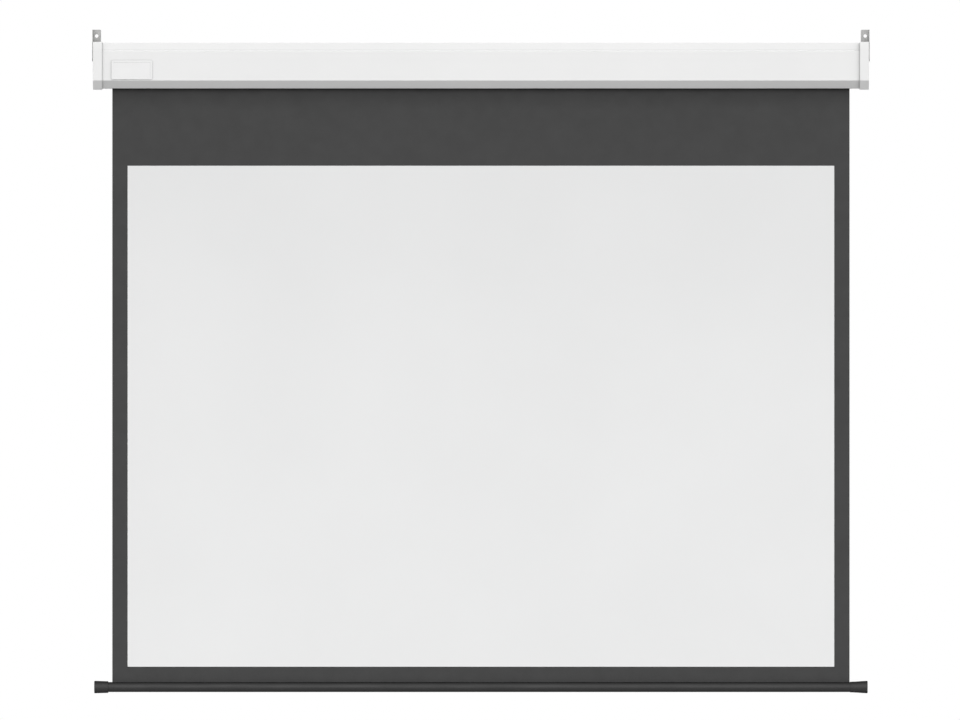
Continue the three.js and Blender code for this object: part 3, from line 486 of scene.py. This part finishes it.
black_cloth = finish("black_cloth", 0.75, specular=0.2)
cloth_drift = spread(black_cloth, noise(black_cloth, 150, detail=5), 0, 1)
tint(black_cloth, cloth_drift, grey(0.0495), grey(0.0525))
gloss(black_cloth, spread(black_cloth, noise(black_cloth, 30), 0.7, 0.8))
relief(black_cloth, weave(black_cloth, thread_mm), depth_mm=0.03)
relief(black_cloth, noise(black_cloth, 4), depth_mm=0.02)
# Painted shade: the black cloth's colour is darkened near the casing, where its shade falls, and more so
# in the last 60 mm below it.
painted_corner_shade(black_cloth, reach_mm=200, depth=1.2)
casing_foot_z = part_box("casing_front")[0].z
painted_shade_upwards(black_cloth, casing_foot_z - 60 * MM, casing_foot_z - 5 * MM, share=0.185)

white_coat = finish("white_coat", 0.85, specular=0.15)
coat_drift = spread(white_coat, noise(white_coat, 420, detail=5), 0, 1)
tint(white_coat, coat_drift, (0.8, 0.802, 0.802), (0.82, 0.822, 0.822))
# Painted shade: the coat's colour darkens a little towards its top, where less light falls.
fade_from_z = -1.05
fade_to_z = -0.15
painted_shade_upwards(white_coat, fade_from_z, fade_to_z, share=0.05)
gloss(white_coat, spread(white_coat, noise(white_coat, 20), 0.8, 0.9))
relief(white_coat, weave(white_coat, thread_mm), depth_mm=0.012)
relief(white_coat, noise(white_coat, 1.2, detail=4), depth_mm=0.015)
print("cloth finishes:", black_cloth.name, white_coat.name)

# %% [markdown]
# ## Dressing the CAD pieces
# Shells, caps, plates and tubes are already right in shape, so they stay and get their finish by the
# name of their material slot. Real folded and moulded edges are never razor sharp. A bevel modifier
# rounds them, after a weld has joined the loose triangles and a planar pass has made whole faces of
# them, and weighted normals keep the large faces flat.

# %% Finishes on CAD pieces
slot_of = {part["node"]: part["material_slot"] for part in frame["record"]["subparts"]}
for name, piece in frame["nodes"].items():
    for place in piece.material_slots:
        place.material = finishes[slot_of[name]]
print(len(frame["nodes"]), "CAD pieces have their finish")

# %% Softened edges
weld_mm = 0.01
flat_angle = math.radians(1)
fold_angle = math.radians(25)
edge_steps = 2


def soften(name, radius_mm):
    """Rounds the edges of a CAD piece where it folds by more than fold_angle."""
    piece = frame["nodes"][name]
    weld = piece.modifiers.new("weld", "WELD")
    weld.merge_threshold = weld_mm * MM
    whole = piece.modifiers.new("whole_faces", "DECIMATE")
    whole.decimate_type = "DISSOLVE"
    whole.angle_limit = flat_angle
    edge = piece.modifiers.new("edge", "BEVEL")
    edge.width = radius_mm * MM
    edge.segments = edge_steps
    edge.limit_method = "ANGLE"
    edge.angle_limit = fold_angle
    normals = piece.modifiers.new("normals", "WEIGHTED_NORMAL")
    normals.weight = 100


edge_radius_mm = {
    "casing_front": 0.5,
    "casing_rear": 0.5,
    "nameplate": 0.35,
    "end_cap_left": 0.9,
    "end_cap_right": 0.9,
    "hanging_bracket_left": 0.3,
    "hanging_bracket_right": 0.3,
    "weight_bar_tube": 0.3,
    "motor_bracket_plate": 0.3,
    "idler_bracket_plate": 0.3,
    "terminal_box": 0.4,
    "terminal_box_lid": 0.4,
}
for name, radius_mm in edge_radius_mm.items():
    soften(name, radius_mm)
print(len(edge_radius_mm), "CAD pieces have soft edges")

# %% [markdown]
# ## Cloth
# A projection screen is one long piece of coated glass cloth. Its top edge is clamped to the roller,
# a little more than one turn of it stays on the roller, the rest hangs down, and its foot is folded
# round a rod and welded to itself. Cloth simulation could drape it, but a screen that a bar pulls
# straight hardly folds at all. So each part is drawn as a middle line seen from the side, given the
# thickness of the cloth, and drawn out over the width, with the faint waves that such a screen has.

# %% Helpers for meshes
sharp_angle = math.radians(32)


def add_object(name, build, made, body, replaced=(), sharp=sharp_angle):
    """Makes an object of a bmesh, smooth except where it turns by more than sharp, and lets it ride."""
    bmesh.ops.recalc_face_normals(build, faces=build.faces)
    for face in build.faces:
        face.smooth = True
    for line in build.edges:
        line.smooth = line.calc_face_angle(0) < sharp
    shape = bpy.data.meshes.new(name)
    build.to_mesh(shape)
    build.free()
    shape.materials.append(made)
    piece = bpy.data.objects.new(name, shape)
    bpy.context.scene.collection.objects.link(piece)
    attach(piece, body)
    if replaced:
        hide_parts(*replaced)
    return piece


def sheet_shape(path, x_low, x_high, thickness, columns, ripple=None):
    """A closed sheet. path is its middle line in (y, z), and ripple(x, z) moves it to its front."""
    build = bmesh.new()
    grid = {}
    last = len(path) - 1
    for i in range(columns + 1):
        x = x_low + (x_high - x_low) * i / columns
        for j, (y, z) in enumerate(path):
            before, after = Vector(path[max(j - 1, 0)]), Vector(path[min(j + 1, last)])
            along = (after - before).normalized()
            for side in (-1, 1):
                out = side * thickness / 2 + (ripple(x, z) if ripple else 0)
                grid[side, i, j] = build.verts.new((x, y + along.y * out, z - along.x * out))
    for i in range(columns):
        for j in range(last):
            corner = [(i, j), (i + 1, j), (i + 1, j + 1), (i, j + 1)]
            build.faces.new([grid[1, *c] for c in corner])
            build.faces.new([grid[-1, *c] for c in reversed(corner)])
    rim = [(i, 0) for i in range(columns)] + [(columns, j) for j in range(last)]
    rim += [(i, last) for i in range(columns, 0, -1)] + [(0, j) for j in range(last, 0, -1)]
    for start, end in zip(rim, rim[1:] + rim[:1]):
        build.faces.new([grid[1, *start], grid[1, *end], grid[-1, *end], grid[-1, *start]])
    return build


def path_length(path):
    return sum((Vector(b) - Vector(a)).length for a, b in zip(path, path[1:]))


print("helpers for meshes are ready")

# %% [markdown]
# ### The hanging cloth and its white coat
# The cloth's waves are under a millimetre high. They run down from the roller, fade out at the roller
# and at the bar, and the two side edges curl back a little, because nothing pulls on them. The coat is a
# thin skin on the front. It follows the same waves, so the two never cut through each other. Each gets a
# mesh of its own.

# %% Hanging cloth
cloth_low, cloth_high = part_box("fabric_sheet")
cloth_y = (cloth_low.y + cloth_high.y) / 2
cloth_thickness = cloth_high.y - cloth_low.y
cloth_width = cloth_high.x - cloth_low.x
cloth_length = cloth_high.z - cloth_low.z
wave_height = 0.4 * MM
edge_curl = 1.2 * MM
curl_power = 10
# For each wave its share of the height, its turn per metre across and up, in radians, and its start.
cloth_waves = ((1, 9.2, 1.3, 0), (0.6, 17.5, -2.1, 1.9))


def waves(x, z):
    """How far the cloth stands forward of its plane: nothing at its top and foot."""
    drop = (cloth_high.z - z) / cloth_length
    share = math.sin(math.pi * min(max(drop, 0), 1))
    wave = sum(part * math.sin(across * x + up * z + start) for part, across, up, start in cloth_waves)
    curl = (2 * abs(x) / cloth_width) ** curl_power
    return share * (wave_height * wave - edge_curl * curl)


def hanging_line(y, top, foot, rows):
    return [(y, top + (foot - top) * j / rows) for j in range(rows + 1)]


cloth_columns = 96
cloth_rows = 72
cloth_path = hanging_line(cloth_y, cloth_high.z, cloth_low.z, cloth_rows)
hanging_cloth = add_object(
    "hanging_cloth",
    sheet_shape(cloth_path, cloth_low.x, cloth_high.x, cloth_thickness, cloth_columns, waves),
    black_cloth, "body", ["fabric_sheet"],
)
print("hanging cloth", round(cloth_width, 3), "x", round(cloth_length, 3), "m")

# %% White coat
coat_low, coat_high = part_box("white_surface")
coat_clearance = 0.02 * MM
coat_thickness = coat_high.y - coat_low.y - coat_clearance
coat_y = coat_low.y + coat_thickness / 2
picture_coat = add_object(
    "picture_coat",
    sheet_shape(
        hanging_line(coat_y, coat_high.z, coat_low.z, cloth_rows),
        coat_low.x, coat_high.x, coat_thickness, cloth_columns, waves,
    ),
    white_coat, "body", ["white_surface"],
)
print("coat", round(coat_high.x - coat_low.x, 3), "x", round(coat_high.z - coat_low.z, 3), "m")

# %% Own meshes for the cloth and the coat
for piece in (hanging_cloth, picture_coat):
    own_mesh(piece)

# %% [markdown]
# ### The hem
# At its foot the cloth goes through a slot into the bar, round a rod, and back up behind itself. From
# the side that is a keyhole. Two short curves join the straight parts to the loop round the rod.

# %% Hem
rod_room_mm = 0.5
neck_above_rod_mm = 8.6
weld_end_below_mm = 14
layer_gap_mm = 0.06
hem_low, hem_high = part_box("fabric_hem")
rod_low, rod_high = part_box("hem_rod")
rod_middle = (rod_low + rod_high) / 2
loop_radius = (rod_high.z - rod_low.z) / 2 + rod_room_mm * MM
loop_open = math.radians(50)
neck_top = rod_middle.z + neck_above_rod_mm * MM
fold_top = hem_high.z - weld_end_below_mm * MM
rear_y = cloth_y + cloth_thickness + layer_gap_mm * MM


def round_rod(angle):
    """A point of the loop, by its angle from the top towards the front."""
    return (rod_middle.y - loop_radius * math.sin(angle), rod_middle.z + loop_radius * math.cos(angle))


def eased(start, end, steps):
    """From start to end, straight down at the start and aslant at the end."""
    points = []
    for k in range(1, steps):
        t = k / steps
        points.append((start[0] + (end[0] - start[0]) * t ** 2, start[1] + (end[1] - start[1]) * t))
    return points


loop_steps = 26
neck_steps = 6
hem_columns = 24
loop = [
    round_rod(loop_open + (2 * math.pi - 2 * loop_open) * k / loop_steps) for k in range(loop_steps + 1)
]
front_neck = (cloth_y, neck_top)
rear_neck = (rear_y, neck_top)
hem_path = [(cloth_y, hem_high.z), front_neck, *eased(front_neck, loop[0], neck_steps), *loop]
hem_path += [*reversed(eased(rear_neck, loop[-1], neck_steps)), rear_neck, (rear_y, fold_top)]
cloth_hem = add_object(
    "cloth_hem",
    sheet_shape(hem_path, hem_low.x, hem_high.x, cloth_thickness, hem_columns),
    black_cloth, "weight_bar", ["fabric_hem"],
)

# %% [markdown]
# ### The cloth on the roller
# From its clamp on top of the tube the cloth goes round once and a quarter, and leaves at the front.
# That is a spiral whose radius grows by a bit more than one thickness in each turn.

# %% Cloth on the roller
outer_lap_mm = 0.28
spiral_growth_mm = 0.56
roll_columns = 12
roll_low, roll_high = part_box("fabric_roll")
roller_middle = (roll_low + roll_high) / 2
roll_outer = (roll_high.z - roll_low.z) / 2 + outer_lap_mm * MM - cloth_thickness / 2
roll_inner = roll_outer - spiral_growth_mm * MM
roll_turn = math.radians(450)
roll_steps = 100
roll_path = []
for k in range(roll_steps + 1):
    share = k / roll_steps
    turn = math.pi - roll_turn * share
    radius = roll_outer + (roll_inner - roll_outer) * share
    roll_path.append((
        roller_middle.y + radius * math.cos(turn), roller_middle.z + radius * math.sin(turn),
    ))
cloth_on_roller = add_object(
    "cloth_on_roller",
    sheet_shape(roll_path, roll_low.x, roll_high.x, cloth_thickness, roll_columns),
    black_cloth, "roller", ["fabric_roll"],
)
print("cloth on the roller", round(path_length(roll_path), 4), "m")

# %% [markdown]
# ## Turned pieces
# Screws, the bar's caps and the cable gland are round. A lathe makes them: an outline is turned round
# an axis. A spin modifier would do it too, but plain rings of points also let a ring be six-sided or
# fluted where the real piece has a hexagon or grips, by a function that changes the radius.

# %% The lathe
def turned(outline, origin, axis, sides=48, section=None):
    """Turns outline, a list of (distance along axis, radius), round axis from origin.
    section(angle, place) gives a share of the radius, place being the index in the outline."""
    build = bmesh.new()
    axis = Vector(axis).normalized()
    side_a = axis.orthogonal().normalized()
    side_b = axis.cross(side_a)
    rings = []
    for place, (reach, radius) in enumerate(outline):
        middle = Vector(origin) + axis * reach
        if radius == 0:
            rings.append([build.verts.new(middle)])
            continue
        ring = []
        for k in range(sides):
            angle = 2 * math.pi * k / sides
            out = radius * (section(angle, place) if section else 1)
            outward = side_a * math.cos(angle) + side_b * math.sin(angle)
            ring.append(build.verts.new(middle + out * outward))
        rings.append(ring)
    for ring, following in zip(rings, rings[1:]):
        for k in range(sides):
            around = (k + 1) % sides
            corners = [ring[k % len(ring)], ring[around % len(ring)]]
            corners += [following[around % len(following)], following[k % len(following)]]
            build.faces.new(list(dict.fromkeys(corners)))
    return build


def in_metres(outline_mm):
    return [(reach * MM, radius * MM) for reach, radius in outline_mm]


def fillet(start, middle, end, steps=4):
    """Points on a curve from start to end that bends towards middle."""
    points = []
    for k in range(steps + 1):
        t = k / steps
        points.append(tuple(
            (1 - t) ** 2 * a + 2 * t * (1 - t) * b + t ** 2 * c for a, b, c in zip(start, middle, end)
        ))
    return points


print("the lathe is ready")

# %% [markdown]
# ### Caps on the bar
# The two caps are not alike in the photograph. The left one is short and ends in a clear step. The
# right one is longer and narrows smoothly to the bar. Both are widest at the outer end, with a rounded
# rim round a shallow dish.

# %% Bar caps
bar_low, bar_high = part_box("weight_bar_tube")
bar_middle = (bar_low + bar_high) / 2
bore_room_mm = 0.3
bar_bore_mm = (bar_high.z - bar_low.z) / 2 / MM + bore_room_mm
cap_radius_mm = 15.8
cap_face_mm = 8
dish = [(0.8, 0), (0.8, 11), *fillet((0.8, 11), (0.8, 12), (0, 12.4))[1:]]
rim = fillet((0, 13.4), (0, cap_radius_mm), (2.4, cap_radius_mm), steps=6)


def bar_cap(name, node_name, side, outside_mm, length_mm):
    """side is -1 for the left end and 1 for the right one, outside_mm the outline after the rim."""
    end_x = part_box(node_name)[1 if side > 0 else 0].x
    inside = [(length_mm, bar_bore_mm), (cap_face_mm, bar_bore_mm), (cap_face_mm, 0)]
    outline = in_metres([*dish, *rim, *outside_mm, *inside])
    return add_object(
        name, turned(outline, (end_x, bar_middle.y, bar_middle.z), (-side, 0, 0), sides=64),
        bar_cap_plastic, "weight_bar", [node_name],
    )


left_cap_mm = 36
left_outside = fillet((left_cap_mm - 2.2, 14.85), (left_cap_mm, 14.8), (left_cap_mm, 13.7))
bar_cap("bar_cap_left", "weight_bar_cap_left", -1, left_outside, left_cap_mm)
right_cap_mm = 45
right_outside = fillet((14, 15.2), (28, 14), (right_cap_mm - 0.6, 13.55), steps=8)
right_outside.append((right_cap_mm, 13.35))
bar_cap("bar_cap_right", "weight_bar_cap_right", 1, right_outside, right_cap_mm)
print("bar caps", left_cap_mm, "and", right_cap_mm, "mm long, bore", round(bar_bore_mm, 2), "mm")

# %% [markdown]
# ### Screws
# Each bracket is held by two countersunk screws and each end cap by two with a pan head. The lathe turns
# the head and a shank with ridges for its thread, and a boolean with two crossed blades cuts the recess.

# %% Cross recess
blade_over = 0.4 * MM
blade_wide_share = 1.12
blade_narrow_share = 0.45


def cross_cutter(origin, axis, reach, width, depth):
    """Two tapered blades that cross on the screw's axis, as one bmesh."""
    build = bmesh.new()
    axis = Vector(axis).normalized()
    side_a = axis.orthogonal().normalized()
    side_b = axis.cross(side_a)
    for long_side, short_side in ((side_a, side_b), (side_b, side_a)):
        levels = []
        for level, share in ((-blade_over, blade_wide_share), (depth, blade_narrow_share)):
            middle = Vector(origin) + axis * level
            corners = ((-1, -1), (1, -1), (1, 1), (-1, 1))
            levels.append([
                build.verts.new(middle + long_side * a * reach * share + short_side * b * width / 2)
                for a, b in corners
            ])
        build.faces.new(levels[0])
        build.faces.new(levels[1])
        for k in range(4):
            build.faces.new([levels[0][k], levels[0][(k + 1) % 4], levels[1][(k + 1) % 4], levels[1][k]])
    bmesh.ops.recalc_face_normals(build, faces=build.faces)
    return build


def with_recess(build, cutter):
    """The shape of build with cutter taken out, as a new bmesh."""
    made_objects = []
    for shape in (build, cutter):
        bmesh.ops.recalc_face_normals(shape, faces=shape.faces)
        mesh = bpy.data.meshes.new("cut")
        shape.to_mesh(mesh)
        shape.free()
        made_objects.append(bpy.data.objects.new("cut", mesh))
        bpy.context.scene.collection.objects.link(made_objects[-1])
    body, blade = made_objects
    cut = body.modifiers.new("cut", "BOOLEAN")
    cut.object = blade
    cut.use_self = True
    view_layer = bpy.context.evaluated_depsgraph_get()
    result = bmesh.new()
    result.from_mesh(body.evaluated_get(view_layer).to_mesh())
    for used in made_objects:
        mesh = used.data
        bpy.data.objects.remove(used)
        bpy.data.meshes.remove(mesh)
    return result


def threads(start_mm, end_mm, outer_mm, depth_mm, pitch_mm):
    """Ridges along a shank, as points of an outline."""
    points = []
    count = int((end_mm - start_mm) / pitch_mm)
    for k in range(count):
        points += [
            (start_mm + pitch_mm * k, outer_mm - depth_mm), (start_mm + pitch_mm * (k + 0.5), outer_mm),
        ]
    return points


print("cross recess and threads are ready")

# %% Bracket screws and cap screws
bracket_shank_mm = 2.45
cap_shank_mm = 1.95
countersunk = [(0, 0), (0, 4.6), (0.25, 4.95), (0.5, 4.95), (2.9, bracket_shank_mm)]
pan_round = fillet((0.2, 2.6), (0.6, 3.85), (2.3, 3.85), steps=5)
pan_head = [(0, 0), (0.05, 1.6), *pan_round, (2.3, cap_shank_mm)]
# Each kind has its head's outline, its shank's radius, and its recess's half length, width and depth.
screw_kinds = {
    "bracket_screw": (countersunk, bracket_shank_mm, 2.3, 0.7, 1.7),
    "cap_screw": (pan_head, cap_shank_mm, 1.9, 0.6, 1.3),
}
plain_shank_mm = 0.6
thread_depth_mm = 0.3
thread_pitch_mm = 0.8
tip_length_mm = 0.4
tip_step_mm = 0.35
screw_sides = 32
for kind, (head, shank_mm, cross_mm, blade_mm, cross_depth_mm) in screw_kinds.items():
    for hand, side in (("left", -1), ("right", 1)):
        for row in ("upper", "lower"):
            node_name = f"{kind}_{hand}_{row}"
            low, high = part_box(node_name)
            middle = (low + high) / 2
            length_mm = (high.x - low.x) / MM
            start = (high.x if side > 0 else low.x, middle.y, middle.z)
            shank = threads(
                head[-1][0] + plain_shank_mm, length_mm - plain_shank_mm, shank_mm, thread_depth_mm,
                thread_pitch_mm,
            )
            tip = (length_mm - tip_length_mm, shank_mm - tip_step_mm)
            outline = in_metres([*head, *shank, tip, (length_mm, 0)])
            inward = (-side, 0, 0)
            blank = turned(outline, start, inward, screw_sides)
            blade = cross_cutter(start, inward, cross_mm * MM, blade_mm * MM, cross_depth_mm * MM)
            add_object(
                f"{node_name}_turned", with_recess(blank, blade),
                zinc_steel, "body", [node_name],
            )
print("eight screws with a cross recess")

# %% [markdown]
# ### The cable gland
# On a real screen the mains lead leaves through a gland in the casing's floor, at the back on the left.
# The photograph shows no lead, so here the gland's seal is blank. A gland is a threaded body with a
# hexagon that lies against the casing, a domed nut with grips, and the rubber seal. The hexagon and the
# grips are sections of the lathe.

# %% Gland
gland_low, gland_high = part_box("cable_gland")
gland_middle = (gland_low + gland_high) / 2
casing_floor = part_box("casing_rear")[0].z
grip_count = 12
groove_share = 0.06
above_mm = (gland_high.z - casing_floor) / MM
gland_thread = threads(0.6, above_mm - 0.5, outer_mm=5.9, depth_mm=0.35, pitch_mm=1.2)
thread_part = [(0, 0), (0, 5.3), *gland_thread, (above_mm, 5.5)]


def below_floor(outline_mm):
    """An outline whose distances are from the casing's floor, moved to where the gland starts."""
    return [(above_mm + reach, radius) for reach, radius in outline_mm]


hexagon_part = below_floor([(0, 8.6), (0.3, 9), (3.6, 9), (3.9, 8.6)])
neck_part = below_floor([(3.9, 7.3), (4.2, 7.3)])
grip_part = below_floor([(4.2, 7.7), (4.6, 8), (8.2, 7.9), (8.9, 7.5)])
dome_part = below_floor([*fillet((9.6, 7.2), (12.7, 6.6), (12.95, 5.2), steps=5), (12.95, 4.3)])
seal_part = below_floor([(12.3, 4.1), (12.1, 3.4), (10.2, 3.3), (10, 0)])
parts = [thread_part, hexagon_part, neck_part, grip_part, dome_part, seal_part]
part_of_place = [part for part in parts for point in part]


def gland_section(angle, place):
    """Six-sided at the hexagon, fluted at the grips and round elsewhere."""
    if part_of_place[place] is hexagon_part:
        sixth = math.radians(60)
        return math.cos(sixth / 2) / math.cos(angle % sixth - sixth / 2)
    if part_of_place[place] is grip_part:
        return 1 - groove_share * max(0, math.cos(grip_count * angle)) ** 2
    return 1


gland_outline = in_metres([point for part in parts for point in part])
gland_top = (gland_middle.x, gland_middle.y, gland_high.z)
add_object(
    "cable_gland_domed", turned(gland_outline, gland_top, (0, 0, -1), sides=96, section=gland_section),
    black_plastic, "body", ["cable_gland"],
)
print("gland with", grip_count, "grips,", len(gland_outline), "rings")
